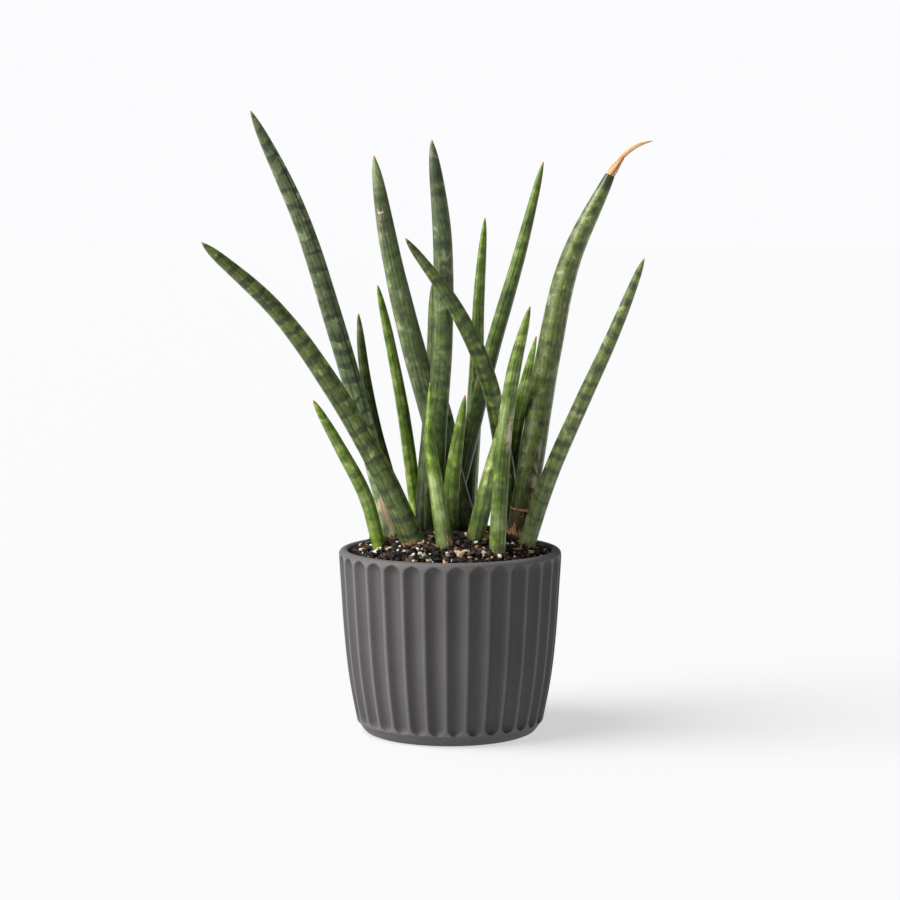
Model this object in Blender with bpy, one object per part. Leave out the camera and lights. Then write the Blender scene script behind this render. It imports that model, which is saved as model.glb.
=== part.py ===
"""Cylindrical snake plant in a fluted pot.

Nineteen round leaves and one hidden one stand in a heap of potting mix, in a round pot with 32 soft
flutes. The pot's foot rests on the ground with its middle at the origin, and +Z is up.
"""

import math
import random

import bmesh
import bpy
from mathutils import Vector

MM = 0.001
CLEARANCE = 0.35

# The pot, in millimetres
FLUTES = 32
FLUTE_DEPTH = 2.2
FLUTE_SHARE = 0.82
FLUTE_BOTTOM = 7.6
FLUTE_TOP = 121.2
ARCH_HEIGHT = 5.5
FIRST_RIDGE = math.radians(-92.4)
COLUMNS_IN_FLUTE = (0.0, 0.17, 0.36, 0.64, 0.83)

# The outside from the ground up to the lip, as (height, radius)
FOOT = [(0.0, 56.5), (3.4, 59.6), (6.2, 61.4), (6.9, 62.4)]
BODY = [
    (8.4, 63.2),
    (10.2, 63.6),
    (13.1, 64.2),
    (22.6, 66.1),
    (38.0, 68.7),
    (55.6, 70.8),
    (99.4, 73.9),
    (115.7, 74.9),
    (118.7, 75.0),
    (120.4, 75.0),
]
LIP = [(121.6, 74.8), (123.4, 73.4), (124.0, 71.4), (123.5, 69.4), (122.3, 68.4)]
# The inside from the lip down to the floor
INSIDE = [(60.0, 64.5), (18.0, 58.0), (8.0, 52.0)]

# The potting mix, in millimetres
MIX_EDGE_HEIGHT = 118.5
MIX_HEAP = 17.5
MIX_COLUMNS = 40
MIX_RINGS = (0.2, 0.4, 0.58, 0.74, 0.88)
MIX_BUMP = 0.8
CHUNKS = 40
CHUNK_SIZE = (1.9, 3.4)

# The leaves, in millimetres
LEAF_SIDES = 14
FURROWED_SIDES = (2, 6, 11)
FURROW = 0.05
STUB = 14.0
TIP_THICKNESS = 0.9
# Where along a leaf its sections are, and where its listed thicknesses hold
SECTIONS = (0.0, 0.11, 0.22, 1 / 3, 0.5, 2 / 3, 0.79, 0.9, 0.97, 1.0)
THICKNESS_AT = (0.0, 1 / 3, 2 / 3, 0.9, 0.97)

GREY_GREEN = "#5d7056"
DARK_GREEN = "#42543c"
BRIGHT_GREEN = "#6c8a3e"

# Each leaf has its colour, its thicknesses, and evenly spaced points on its middle line, foot to tip
LEAVES = {
    "leaf_far_left": (
        GREY_GREEN,
        (17.2, 14.3, 11.8, 8.6, 5.2),
        [(-22, -31, 128), (-47, -40, 184), (-78, -50, 239), (-113, -60, 288), (-159, -70, 331)],
    ),
    "leaf_tall_left": (
        GREY_GREEN,
        (12.7, 13.0, 12.1, 8.6, 4.6),
        [(-36, -17, 127), (-55, -16, 201), (-76, -17, 275), (-99, -17, 347), (-131, -17, 416)],
    ),
    "leaf_small_left": (
        GREY_GREEN,
        (9.3, 9.2, 7.8, 5.0, 2.8),
        [(-47, -22, 128), (-56, -32, 163), (-72, -42, 196), (-89, -51, 228)],
    ),
    "leaf_thin_dark_left": (
        DARK_GREEN,
        (9.5, 9.0, 7.6, 5.0, 2.6),
        [(-31, 8, 130), (-41, 11, 168), (-51, 15, 205), (-58, 18, 243), (-62, 21, 281)],
    ),
    "leaf_bright_centre_left": (
        BRIGHT_GREEN,
        (9.6, 9.1, 7.5, 5.3, 2.9),
        [(-21, 25, 129), (-26, 25, 172), (-32, 25, 215), (-40, 25, 258), (-49, 25, 300)],
    ),
    "leaf_tall_grey": (
        GREY_GREEN,
        (18.9, 16.9, 13.9, 9.2, 4.9),
        [(10, 4, 136), (-7, 6, 198), (-25, 8, 260), (-40, 11, 323), (-51, 13, 387)],
    ),
    "leaf_tall_centre": (
        GREY_GREEN,
        (13.4, 13.7, 13.1, 9.0, 4.9),
        [(-11, -5, 137), (-9, -10, 202), (-5, -14, 267), (-5, -18, 332), (-12, -22, 397)],
    ),
    "leaf_behind_centre": (
        DARK_GREEN,
        (14.9, 13.6, 10.6, 6.6, 3.3),
        [(-17, 8, 132), (-15, 18, 174), (-12, 28, 216), (-11, 37, 258), (-12, 46, 301)],
    ),
    "leaf_small_front": (
        BRIGHT_GREEN,
        (10.8, 10.0, 7.1, 3.5, 1.9),
        [(-3, -45, 127), (-8, -45, 164), (-13, -46, 201), (-13, -46, 239)],
    ),
    "leaf_small_front_right": (
        BRIGHT_GREEN,
        (10.4, 10.5, 8.3, 4.6, 2.3),
        [(1, -9, 135), (1, -14, 166), (5, -18, 198), (10, -22, 229)],
    ),
    "leaf_dark_right": (
        DARK_GREEN,
        (12.4, 11.2, 9.4, 5.9, 3.4),
        [(-3, 34, 132), (13, 33, 194), (29, 31, 257), (47, 30, 320), (63, 29, 383)],
    ),
    "leaf_crossing": (
        GREY_GREEN,
        (12.3, 11.9, 10.8, 6.9, 4.1),
        [(43, 19, 132), (36, 4, 187), (25, -11, 240), (3, -26, 288), (-29, -42, 333)],
    ),
    "leaf_short_right": (
        BRIGHT_GREEN,
        (12.2, 11.7, 8.7, 4.7, 2.3),
        [(16, -30, 132), (23, -31, 162), (30, -33, 192), (37, -34, 222)],
    ),
    "leaf_bright_front": (
        BRIGHT_GREEN,
        (11.2, 10.4, 9.8, 6.2, 3.2),
        [(31, -44, 128), (33, -45, 169), (36, -45, 209), (42, -46, 249), (52, -47, 289)],
    ),
    "leaf_thick_right": (
        GREY_GREEN,
        (17.5, 16.8, 15.4, 10.9, 8.2),
        [(46, -1, 129), (56, 1, 192), (66, 4, 254), (80, 7, 316), (107, 10, 374)],
    ),
    "leaf_right": (
        GREY_GREEN,
        (11.7, 10.9, 9.1, 6.1, 3.6),
        [(50, -16, 125), (66, -23, 175), (86, -31, 223), (107, -39, 271), (126, -47, 320)],
    ),
    "leaf_thin_behind": (
        DARK_GREEN,
        (8.9, 8.7, 7.8, 4.1, 2.1),
        [(42, 34, 128), (42, 21, 164), (44, 8, 199), (50, -7, 234), (57, -21, 268)],
    ),
    "leaf_thin_centre": (
        BRIGHT_GREEN,
        (11.1, 10.9, 8.5, 5.5, 3.1),
        [(12, 56, 129), (15, 55, 183), (18, 55, 237), (20, 54, 291), (24, 53, 345)],
    ),
    "leaf_short_behind": (
        BRIGHT_GREEN,
        (9.7, 9.8, 8.8, 4.9, 2.5),
        [(12, 44, 130), (13, 44, 165), (16, 44, 201), (16, 44, 236)],
    ),
    "leaf_hidden_centre": (
        DARK_GREEN,
        (11.6, 11.5, 9.9, 4.8, 2.3),
        [(8, 21, 132), (3, 21, 170), (-2, 20, 207), (-10, 18, 244)],
    ),
}

# The thick leaf ends in a flat cut, where its dried tip begins
CUT_LEAF = "leaf_thick_right"
CUT_THICKNESS = 6.6
DRIED_TIP_GAP = 0.3
DRIED_TIP = [
    (107.2, 10.2, 374.4, 6.4),
    (110.0, 10.7, 378.6, 5.6),
    (113.0, 11.1, 383.0, 4.2),
    (116.4, 11.5, 387.4, 3.2),
    (120.8, 12.0, 391.2, 2.8),
    (126.4, 12.5, 394.3, 2.1),
    (131.5, 13.0, 396.0, 1.5),
    (135.6, 13.5, 396.9, 0.7),
]
DRIED_TIP_SIDES = 10


def linear(hex_colour):
    """The scene-linear colour of an sRGB hex code."""
    values = [int(hex_colour[i : i + 2], 16) / 255 for i in (1, 3, 5)]
    return [v / 12.92 if v <= 0.04045 else ((v + 0.055) / 1.055) ** 2.4 for v in values]


def give_material(obj, hex_colour, roughness):
    material = bpy.data.materials.new(obj.name)
    material.use_nodes = True
    shader = material.node_tree.nodes["Principled BSDF"]
    shader.inputs["Base Color"].default_value = (*linear(hex_colour), 1)
    shader.inputs["Roughness"].default_value = roughness
    shader.inputs["Metallic"].default_value = 0.0
    obj.data.materials.clear()
    obj.data.materials.append(material)


def add_object(name, bm):
    """An object of this mesh, facing outwards."""
    bmesh.ops.recalc_face_normals(bm, faces=bm.faces)
    mesh = bpy.data.meshes.new(name)
    bm.to_mesh(mesh)
    bm.free()
    obj = bpy.data.objects.new(name, mesh)
    bpy.context.scene.collection.objects.link(obj)
    return obj


def shade_smooth(obj):
    for polygon in obj.data.polygons:
        polygon.use_smooth = True


def add_ring(bm, points):
    return [bm.verts.new(Vector(point) * MM) for point in points]


def join_rings(bm, lower, upper):
    for i in range(len(lower)):
        j = (i + 1) % len(lower)
        bm.faces.new((lower[i], lower[j], upper[j], upper[i]))


def close_ring(bm, ring, centre):
    """Closes a ring with a fan of triangles about a point."""
    middle = bm.verts.new(Vector(centre) * MM)
    for i in range(len(ring)):
        bm.faces.new((ring[i], ring[(i + 1) % len(ring)], middle))


def radius_at(profile, height):
    """The radius of a profile at a height, for heights listed either way up."""
    ordered = sorted(profile)
    for (low, r_low), (high, r_high) in zip(ordered, ordered[1:]):
        if low <= height <= high:
            return r_low + (r_high - r_low) * (height - low) / (high - low)
    return ordered[-1][1]


def flute_cut(across, height):
    """How deep the flute is: across goes from 0 on one ridge to 1 on the next."""
    from_end = min(height - FLUTE_BOTTOM, FLUTE_TOP - height)
    if from_end <= 0:
        return 0.0
    arch = min(1.0, from_end / ARCH_HEIGHT)
    half_width = FLUTE_SHARE * math.sqrt(1 - (1 - arch) ** 2)
    off_middle = abs(2 * across - 1)
    if off_middle >= half_width:
        return 0.0
    return FLUTE_DEPTH * half_width / FLUTE_SHARE * (1 - (off_middle / half_width) ** 2)


def pot_ring(bm, height, radius, fluted):
    points = []
    for flute in range(FLUTES):
        for across in COLUMNS_IN_FLUTE:
            angle = FIRST_RIDGE + (flute + across) * 2 * math.pi / FLUTES
            r = radius - (flute_cut(across, height) if fluted else 0)
            points.append((r * math.cos(angle), r * math.sin(angle), height))
    return add_ring(bm, points)


def make_pot():
    bm = bmesh.new()
    rings = [pot_ring(bm, z, r, False) for z, r in FOOT]
    rings += [pot_ring(bm, z, r, True) for z, r in BODY]
    rings += [pot_ring(bm, z, r, False) for z, r in LIP + INSIDE]
    for lower, upper in zip(rings, rings[1:]):
        join_rings(bm, lower, upper)
    close_ring(bm, rings[0], (0, 0, 0))
    close_ring(bm, rings[-1], (0, 0, INSIDE[-1][0]))
    pot = add_object("pot", bm)
    shade_smooth(pot)
    give_material(pot, "#646260", 0.75)


def spline(points, along):
    """The point at a share of the way along a smooth line through evenly spaced points."""
    points = [Vector(point) for point in points]
    padded = [2 * points[0] - points[1], *points, 2 * points[-1] - points[-2]]
    place = along * (len(points) - 1)
    i = min(int(place), len(points) - 2)
    u = place - i
    before, start, end, after = padded[i : i + 4]
    return 0.5 * (
        2 * start
        + (end - before) * u
        + (2 * before - 5 * start + 4 * end - after) * u**2
        + (3 * start - before - 3 * end + after) * u**3
    )


def thickness(listed, tip, along):
    stops = list(zip(THICKNESS_AT, listed)) + [(1.0, tip)]
    for (low, t_low), (high, t_high) in zip(stops, stops[1:]):
        if along <= high:
            return t_low + (t_high - t_low) * (along - low) / (high - low)
    return tip


def section(centre, direction, across, sides):
    """One furrowed round section of a leaf, square to its direction."""
    side = direction.cross(Vector((0, -1, 0))).normalized()
    front = side.cross(direction).normalized()
    points = []
    for i in range(sides):
        angle = 2 * math.pi * i / sides
        furrowed = sides == LEAF_SIDES and i in FURROWED_SIDES
        r = across / 2 * (1 - FURROW if furrowed else 1)
        points.append(centre + r * (math.cos(angle) * side + math.sin(angle) * front))
    return points


def leaf_sections(name, wider, last):
    """The sections of a leaf from its stub in the mix up to a share of its length."""
    listed, line = LEAVES[name][1:]
    tip = CUT_THICKNESS if name == CUT_LEAF else TIP_THICKNESS
    foot = Vector(line[0])
    down = Vector((0, 0, STUB + wider))
    sections = [section(foot - down, Vector((0, 0, 1)), listed[0] + 2 * wider, LEAF_SIDES)]
    for along in SECTIONS:
        if along > last:
            break
        step = 0.01
        ahead = spline(line, min(1.0, along + step))
        behind = spline(line, max(0.0, along - step))
        across = thickness(listed, tip, along) + 2 * wider
        direction = (ahead - behind).normalized()
        sections.append(section(spline(line, along), direction, across, LEAF_SIDES))
    return sections


def tube(name, sections):
    bm = bmesh.new()
    rings = [add_ring(bm, points) for points in sections]
    for lower, upper in zip(rings, rings[1:]):
        join_rings(bm, lower, upper)
    for ring, points in ((rings[0], sections[0]), (rings[-1], sections[-1])):
        close_ring(bm, ring, sum(points, Vector()) / len(points))
    return add_object(name, bm)


def make_leaves():
    for name, (colour, _, _) in LEAVES.items():
        leaf = tube(name, leaf_sections(name, 0.0, 1.0))
        shade_smooth(leaf)
        give_material(leaf, colour, 0.5)


def make_dried_tip():
    """The thin dead end of the thick leaf, which begins a small gap beyond the flat cut."""
    centres = [Vector(stop[:3]) for stop in DRIED_TIP]
    line = LEAVES[CUT_LEAF][2]
    end = Vector(line[-1])
    direction = (end - spline(line, 0.99)).normalized()
    centres[0] = end + direction * DRIED_TIP_GAP
    sections = []
    for i, centre in enumerate(centres):
        ahead = centres[min(i + 1, len(centres) - 1)]
        behind = centres[max(i - 1, 0)]
        way = direction if i == 0 else (ahead - behind).normalized()
        sections.append(section(centre, way, DRIED_TIP[i][3], DRIED_TIP_SIDES))
    tip = tube("dried_tip", sections)
    shade_smooth(tip)
    give_material(tip, "#c69f77", 0.8)


def mix_height(x, y):
    """The height of the heap, which is flat-topped and falls away to the pot's wall."""
    edge = radius_at(INSIDE + LIP[-1:], MIX_EDGE_HEIGHT)
    share = min(1.0, math.hypot(x, y) / edge)
    return MIX_EDGE_HEIGHT + MIX_HEAP * (1 - share**3)


def mix_ring(bm, radius, height, bump):
    points = []
    for i in range(MIX_COLUMNS):
        angle = 2 * math.pi * i / MIX_COLUMNS
        x = radius * math.cos(angle)
        y = radius * math.sin(angle)
        z = mix_height(x, y) + random.uniform(-bump, bump) if height is None else height
        points.append((x, y, z))
    return add_ring(bm, points)


def make_heap():
    """The body of the mix, which fills the pot up to a small clearance."""
    bm = bmesh.new()
    inside = sorted(INSIDE + LIP[-1:])
    floor_height, floor_radius = inside[0]
    edge = radius_at(inside, MIX_EDGE_HEIGHT)
    rings = [mix_ring(bm, floor_radius - 2 * CLEARANCE, floor_height + CLEARANCE, 0)]
    for height, radius in inside[1:-1]:
        rings.append(mix_ring(bm, radius - CLEARANCE, height, 0))
    rings.append(mix_ring(bm, edge - CLEARANCE, MIX_EDGE_HEIGHT, 0))
    for share in reversed(MIX_RINGS):
        rings.append(mix_ring(bm, edge * share, None, MIX_BUMP))
    for lower, upper in zip(rings, rings[1:]):
        join_rings(bm, lower, upper)
    close_ring(bm, rings[0], (0, 0, floor_height + CLEARANCE))
    close_ring(bm, rings[-1], (0, 0, mix_height(0, 0)))
    return add_object("soil", bm)


def clear_of_leaves(x, y, size):
    """Whether a chunk at this place stands clear of every leaf."""
    height = mix_height(x, y)
    for _, listed, line in LEAVES.values():
        foot, ahead = Vector(line[0]), spline(line, 0.1)
        up = (height - foot.z) / (ahead.z - foot.z)
        centre = foot.lerp(ahead, max(0.0, up))
        if math.hypot(x - centre.x, y - centre.y) < listed[0] / 2 + size:
            return False
    return True


def add_chunks(collection):
    """Lumps of bark and grit, half sunk in the top of the heap."""
    reach = radius_at(INSIDE + LIP[-1:], MIX_EDGE_HEIGHT) - CLEARANCE
    while len(collection.objects) < CHUNKS:
        size = random.uniform(*CHUNK_SIZE)
        angle = random.uniform(0, 2 * math.pi)
        distance = (reach - 1.5 * size) * math.sqrt(random.random())
        x = distance * math.cos(angle)
        y = distance * math.sin(angle)
        if not clear_of_leaves(x, y, size):
            continue
        bm = bmesh.new()
        bmesh.ops.create_icosphere(bm, subdivisions=1, radius=size * MM)
        for vert in bm.verts:
            vert.co *= random.uniform(0.75, 1.15)
            vert.co.z *= 0.7
        chunk = add_object("chunk", bm)
        chunk.rotation_euler = [random.uniform(-0.6, 0.6) for _ in range(3)]
        chunk.location = Vector((x, y, mix_height(x, y) + 0.2 * size)) * MM
        bpy.context.scene.collection.objects.unlink(chunk)
        collection.objects.link(chunk)


def add_leaf_cutters(collection):
    """The foot of each leaf, a clearance wider, which leaves its hole in the mix."""
    for name in LEAVES:
        cutter = tube("hole", leaf_sections(name, CLEARANCE, 0.23))
        bpy.context.scene.collection.objects.unlink(cutter)
        collection.objects.link(cutter)


def combine(target, operation, fill):
    """Joins or cuts a collection of helpers with the target, and removes them."""
    helpers = bpy.data.collections.new("helpers")
    bpy.context.scene.collection.children.link(helpers)
    fill(helpers)
    modifier = target.modifiers.new(operation, "BOOLEAN")
    modifier.operand_type = "COLLECTION"
    modifier.collection = helpers
    modifier.operation = operation
    modifier.solver = "EXACT"
    bpy.context.view_layer.update()
    graph = bpy.context.evaluated_depsgraph_get()
    mesh = bpy.data.meshes.new_from_object(target.evaluated_get(graph))
    target.modifiers.clear()
    target.data = mesh
    for helper in list(helpers.objects):
        bpy.data.objects.remove(helper)
    bpy.data.collections.remove(helpers)


def keep_largest_body(obj):
    """Drops loose scraps that the cuts left."""
    bm = bmesh.new()
    bm.from_mesh(obj.data)
    unseen = set(bm.verts)
    bodies = []
    while unseen:
        body = {unseen.pop()}
        edge = list(body)
        while edge:
            near = {e.other_vert(v) for v in edge for e in v.link_edges} - body
            body |= near
            edge = list(near)
        unseen -= body
        bodies.append(body)
    bodies.sort(key=len)
    scraps = [vert for body in bodies[:-1] for vert in body]
    bmesh.ops.delete(bm, geom=scraps, context="VERTS")
    bm.to_mesh(obj.data)
    bm.free()


def make_soil():
    random.seed(7)
    soil = make_heap()
    combine(soil, "UNION", add_chunks)
    combine(soil, "DIFFERENCE", add_leaf_cutters)
    keep_largest_body(soil)
    give_material(soil, "#3d2f27", 0.95)


def main():
    for obj in list(bpy.data.objects):
        bpy.data.objects.remove(obj)
    make_pot()
    make_leaves()
    make_dried_tip()
    make_soil()


main()
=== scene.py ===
# %% [markdown]
# # A cylindrical snake plant in a fluted stoneware pot
#
# A cylindrical snake plant is a clump of round, pointed leaves that come straight out of the ground.
# Each leaf is a firm rod with shallow furrows along it and dark bands across it. This one grows in a
# dark grey pot with 32 soft flutes, in a coarse mix of bark and white perlite.
# The solid model of the plant is loaded first. It fixes every size and place, and each finer piece
# below is made where its plain solid stands.

# %% Load the fixed frame
import math
from collections import namedtuple

import bmesh
import bpy
import numpy as np
from mathutils import Matrix, Vector, noise


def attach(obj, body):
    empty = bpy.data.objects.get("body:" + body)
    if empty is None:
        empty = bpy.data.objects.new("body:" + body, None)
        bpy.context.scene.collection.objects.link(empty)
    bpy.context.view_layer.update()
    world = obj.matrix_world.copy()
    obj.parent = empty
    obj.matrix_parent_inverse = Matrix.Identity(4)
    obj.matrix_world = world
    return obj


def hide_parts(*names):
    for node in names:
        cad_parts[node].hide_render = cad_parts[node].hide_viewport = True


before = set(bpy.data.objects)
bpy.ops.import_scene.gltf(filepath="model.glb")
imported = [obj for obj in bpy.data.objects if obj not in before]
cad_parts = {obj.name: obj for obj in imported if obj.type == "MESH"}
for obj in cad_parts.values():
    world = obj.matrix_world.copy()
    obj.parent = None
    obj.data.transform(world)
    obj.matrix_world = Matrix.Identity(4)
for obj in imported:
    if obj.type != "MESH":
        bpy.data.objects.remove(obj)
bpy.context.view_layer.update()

MM = 0.001

# %% [markdown]
# ## A few helpers
#
# Colours are written as the hex codes that a painter would pick on a screen. Blender works with light
# that adds up, so one function turns each code into those linear amounts.
# A material is a chain of nodes, and one small function adds a node, its settings and its links. A
# ramp takes stops, each a place and a colour, and a range takes its span: from, to, least and most.
# Modelling operators act on whatever is selected, so each step starts with nothing selected.

# %% Colours and nodes
def to_linear(code):
    parts = [int(code[i : i + 2], 16) / 255 for i in (1, 3, 5)]
    return (*[p / 12.92 if p <= 0.04045 else ((p + 0.055) / 1.055) ** 2.4 for p in parts], 1)


def set_inputs(tree, node, values):
    """Sets a node's inputs, or links those whose value is another node's output."""
    for key, value in values.items():
        if isinstance(value, bpy.types.NodeSocket):
            tree.links.new(value, node.inputs[key])
        else:
            node.inputs[key].default_value = value


def add_node(tree, kind, inputs=None, out=0, **settings):
    """Adds a node, sets or links its inputs, and gives back one of its outputs."""
    node = tree.nodes.new("ShaderNode" + kind)
    for key, value in settings.items():
        if key == "stops":
            ramp = node.color_ramp
            while len(ramp.elements) < len(value):
                ramp.elements.new(0.5)
            for element, (position, code) in zip(ramp.elements, value):
                element.position, element.color = position, to_linear(code)
        elif key == "span":
            set_inputs(tree, node, dict(zip(("From Min", "From Max", "To Min", "To Max"), value)))
        else:
            setattr(node, key, value)
    set_inputs(tree, node, inputs or {})
    return node.outputs[out]


def start_material(name):
    """A new material's node tree and its main shader."""
    material = bpy.data.materials.new(name)
    material.use_nodes = True
    return material, material.node_tree, material.node_tree.nodes["Principled BSDF"]


print("orange bark in linear light:", [round(v, 3) for v in to_linear("#96613a")])

# %% Pieces and their points
def deselect_all():
    if bpy.context.mode != "OBJECT":
        bpy.ops.object.mode_set(mode="OBJECT")
    bpy.ops.object.select_all(action="DESELECT")


def named(name):
    piece = bpy.context.object
    piece.name = piece.data.name = name
    return piece


def place_points(piece, points):
    """Moves every point of a mesh to its new place, given in metres."""
    piece.data.vertices.foreach_set("co", np.asarray(points, np.float32).ravel())
    piece.data.update()


def points_of(piece):
    points = np.empty(len(piece.data.vertices) * 3, np.float32)
    piece.data.vertices.foreach_get("co", points)
    return points.reshape(-1, 3).astype(float)


def note_on_points(piece, name, values):
    """Keeps one number, or one vector, on each point, for a material to read."""
    values = np.asarray(values, np.float32)
    kind, field = ("FLOAT_VECTOR", "vector") if values.ndim == 2 else ("FLOAT", "value")
    attribute = piece.data.attributes.new(name, kind, "POINT")
    attribute.data.foreach_set(field, values.ravel())


def finish(piece, material, slot, *nodes, smooth=True):
    """Gives a finished piece its material and its place in the frame."""
    piece.data.materials.clear()
    piece.data.materials.append(material)
    for polygon in piece.data.polygons:
        polygon.use_smooth = smooth
    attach(piece, "root")
    if nodes:
        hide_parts(*nodes)
    return piece


# %% [markdown]
# ## A smooth line through measured stops
#
# A profile is measured at a few heights, and the real form runs smoothly through them. A monotone
# cubic does that without the bumps that a plain cubic adds between uneven stops.

# %% Smooth values between stops
def smooth_between(stops, values, where):
    """The value at each place, on a smooth line through the stops that never overshoots them."""
    stops, values = np.asarray(stops, float), np.asarray(values, float)
    slopes = np.diff(values) / np.diff(stops)
    bends = np.concatenate([slopes[:1], (slopes[:-1] + slopes[1:]) / 2, slopes[-1:]])
    flat = slopes[:-1] * slopes[1:] <= 0
    bends[1:-1][flat] = 0
    limit = 3 * np.minimum(np.abs(np.r_[slopes, slopes[-1]]), np.abs(np.r_[slopes[0], slopes]))
    bends = np.sign(bends) * np.minimum(np.abs(bends), limit)
    where = np.clip(np.asarray(where, float), stops[0], stops[-1])
    i = np.clip(np.searchsorted(stops, where) - 1, 0, len(stops) - 2)
    gap = stops[i + 1] - stops[i]
    u = (where - stops[i]) / gap
    return (
        values[i] * (1 + 2 * u) * (1 - u) ** 2
        + bends[i] * gap * u * (1 - u) ** 2
        + values[i + 1] * u**2 * (3 - 2 * u)
        + bends[i + 1] * gap * u**2 * (u - 1)
    )


print("half way between 0 and 10:", smooth_between([0, 1, 2], [0, 10, 12], [0.5]).round(2))

# %% [markdown]
# ## The camera
#
# The picture was taken from a little above the rim, from far enough away that the pot hardly tapers.
# A lens of 104 mm at 1.74 m gives the same view. The same numbers turn a place in the picture into a
# place on the plant, which later puts each scar and each white grain where it is seen.

# %% The camera and its picture
CAMERA_PLACE = np.array((0.0, -1.738, 0.3669))
LOOK_DOWN = math.radians(5.80)
PICTURE_SIDE = 900
FOCAL_PIXELS = 2600
SENSOR_WIDTH = 36

bpy.ops.object.camera_add(
    location=CAMERA_PLACE, rotation=(math.radians(90) - LOOK_DOWN, 0, 0)
)
camera = bpy.context.object
camera.data.sensor_width = SENSOR_WIDTH
camera.data.lens = FOCAL_PIXELS / PICTURE_SIDE * SENSOR_WIDTH
bpy.context.scene.camera = camera


def in_picture(point):
    """Where a point in metres is seen, in pixels right and down."""
    x, y, z = np.moveaxis(np.asarray(point) - CAMERA_PLACE, -1, 0)
    ahead = y * math.cos(LOOK_DOWN) - z * math.sin(LOOK_DOWN)
    up = y * math.sin(LOOK_DOWN) + z * math.cos(LOOK_DOWN)
    middle = PICTURE_SIDE / 2
    return np.stack([middle + FOCAL_PIXELS * x / ahead, middle - FOCAL_PIXELS * up / ahead], -1)


def sight_line(right, down):
    """The direction in which the camera sees a pixel."""
    across, up = (right - PICTURE_SIDE / 2) / FOCAL_PIXELS, (PICTURE_SIDE / 2 - down) / FOCAL_PIXELS
    turn = Matrix.Rotation(-LOOK_DOWN, 3, "X")
    return np.array(turn @ Vector((across, 1, up)).normalized())


print("the pot's front rim is seen at", in_picture((0, -0.075, 0.124)).round(1))

# %% [markdown]
# ## The pot's shape
#
# The pot is cast stoneware with one thin wall. A round foot carries it, and above a soft crease it
# widens to a rolled lip. It could be turned from a profile or cut out of a cylinder. Here one disc
# is pulled up step by step and widened at each step, as on a potter's wheel, then rolled over the lip
# and pushed down inside.

# %% The pot's profile in millimetres
FLUTES = 32
STEPS_ACROSS_FLUTE = 14
# Each stop is a height and the pot's radius there
FOOT = [
    (0.0, 55.4), (0.7, 55.6), (0.9, 57.5), (2.0, 58.6), (4.0, 60.1), (5.4, 60.9), (6.3, 61.4), (6.9, 62.3),
]
BODY = [
    (7.4, 62.9), (8.4, 63.2), (10.2, 63.6), (13.1, 64.2), (22.6, 66.1), (38.0, 68.7), (55.6, 70.8),
    (77.5, 72.6), (99.4, 73.9), (115.7, 74.9), (118.7, 75.0), (120.4, 75.0),
]
LIP = [
    (120.9, 74.97), (121.6, 74.8), (122.3, 74.45), (122.9, 73.95), (123.4, 73.3), (123.75, 72.5),
    (123.95, 71.8), (124.0, 71.1), (123.93, 70.4), (123.7, 69.75), (123.3, 69.2), (122.8, 68.75),
]
INSIDE = [
    (122.0, 68.4), (119.0, 68.1), (112.0, 67.6), (100.0, 66.9), (60.0, 64.5), (18.0, 58.0), (9.0, 53.0),
    (8.0, 50.0),
]

# Steps stand closer where the flutes have their round ends
low_arches = np.arange(7.6, 13.4, 0.4)
high_arches = np.arange(115.4, 120.6, 0.4)
body_heights = [*low_arches, *np.linspace(15, 113.5, 18), *high_arches]
body_radii = smooth_between(*zip(*BODY), body_heights)
pot_profile = FOOT + list(zip(body_heights, body_radii)) + LIP + INSIDE
print(len(pot_profile), "steps from the foot to the pot's floor")

# %% Pull the pot up from a disc
deselect_all()
bpy.ops.mesh.primitive_circle_add(
    vertices=FLUTES * STEPS_ACROSS_FLUTE, radius=FOOT[0][1] * MM, fill_type="NGON"
)
pot = named("fluted_pot")
bpy.ops.object.mode_set(mode="EDIT")
for (low, narrow), (high, wide) in zip(pot_profile, pot_profile[1:]):
    bpy.ops.mesh.extrude_region_move(TRANSFORM_OT_translate={"value": (0, 0, (high - low) * MM)})
    bpy.ops.transform.resize(
        value=(wide / narrow, wide / narrow, 1), center_override=(0, 0, high * MM)
    )
bpy.ops.mesh.select_all(action="SELECT")
bpy.ops.mesh.normals_make_consistent(inside=False)
bpy.ops.object.mode_set(mode="OBJECT")
print("the pot has", len(pot.data.polygons), "faces before its flutes")

# %% [markdown]
# ## The flutes
#
# Each flute is a shallow channel 12 mm wide with a round end near the foot and another under the lip,
# and the ridge between two flutes is worn soft. They could be cut with 32 rounded bars. Pushing the
# wall's points inwards gives the same channel with no ragged cut edges.

# %% Press the flutes into the wall
FLUTE_DEPTH = 3.2
FLUTE_SHARE = 0.82
FLUTE_BOTTOM = 7.6
FLUTE_TOP = 121.2
ARCH_HEIGHT = 5.5
FIRST_RIDGE = math.radians(-92.4)
SOFT_RIDGE = 0.09
LIP_BEGINS = 121
PLAIN_HOLLOW = 0.06


def flute_depth(across, height):
    """How deep the wall is pressed in: across goes from 0 on one ridge to 1 on the next."""
    from_end = np.minimum(height - FLUTE_BOTTOM, FLUTE_TOP - height)
    arch = np.clip(from_end / ARCH_HEIGHT, 1e-4, 1)
    opening = np.sqrt(1 - (1 - arch) ** 2)
    hollow = 1 - (np.abs(2 * across - 1) / (FLUTE_SHARE * opening)) ** 2
    hollow = np.maximum(hollow, -4)
    softened = 0.5 * (hollow + np.sqrt(hollow**2 + SOFT_RIDGE**2)) - SOFT_RIDGE**2 / 16
    return np.where(from_end > 0, FLUTE_DEPTH * opening * np.maximum(softened, 0), 0)


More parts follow.
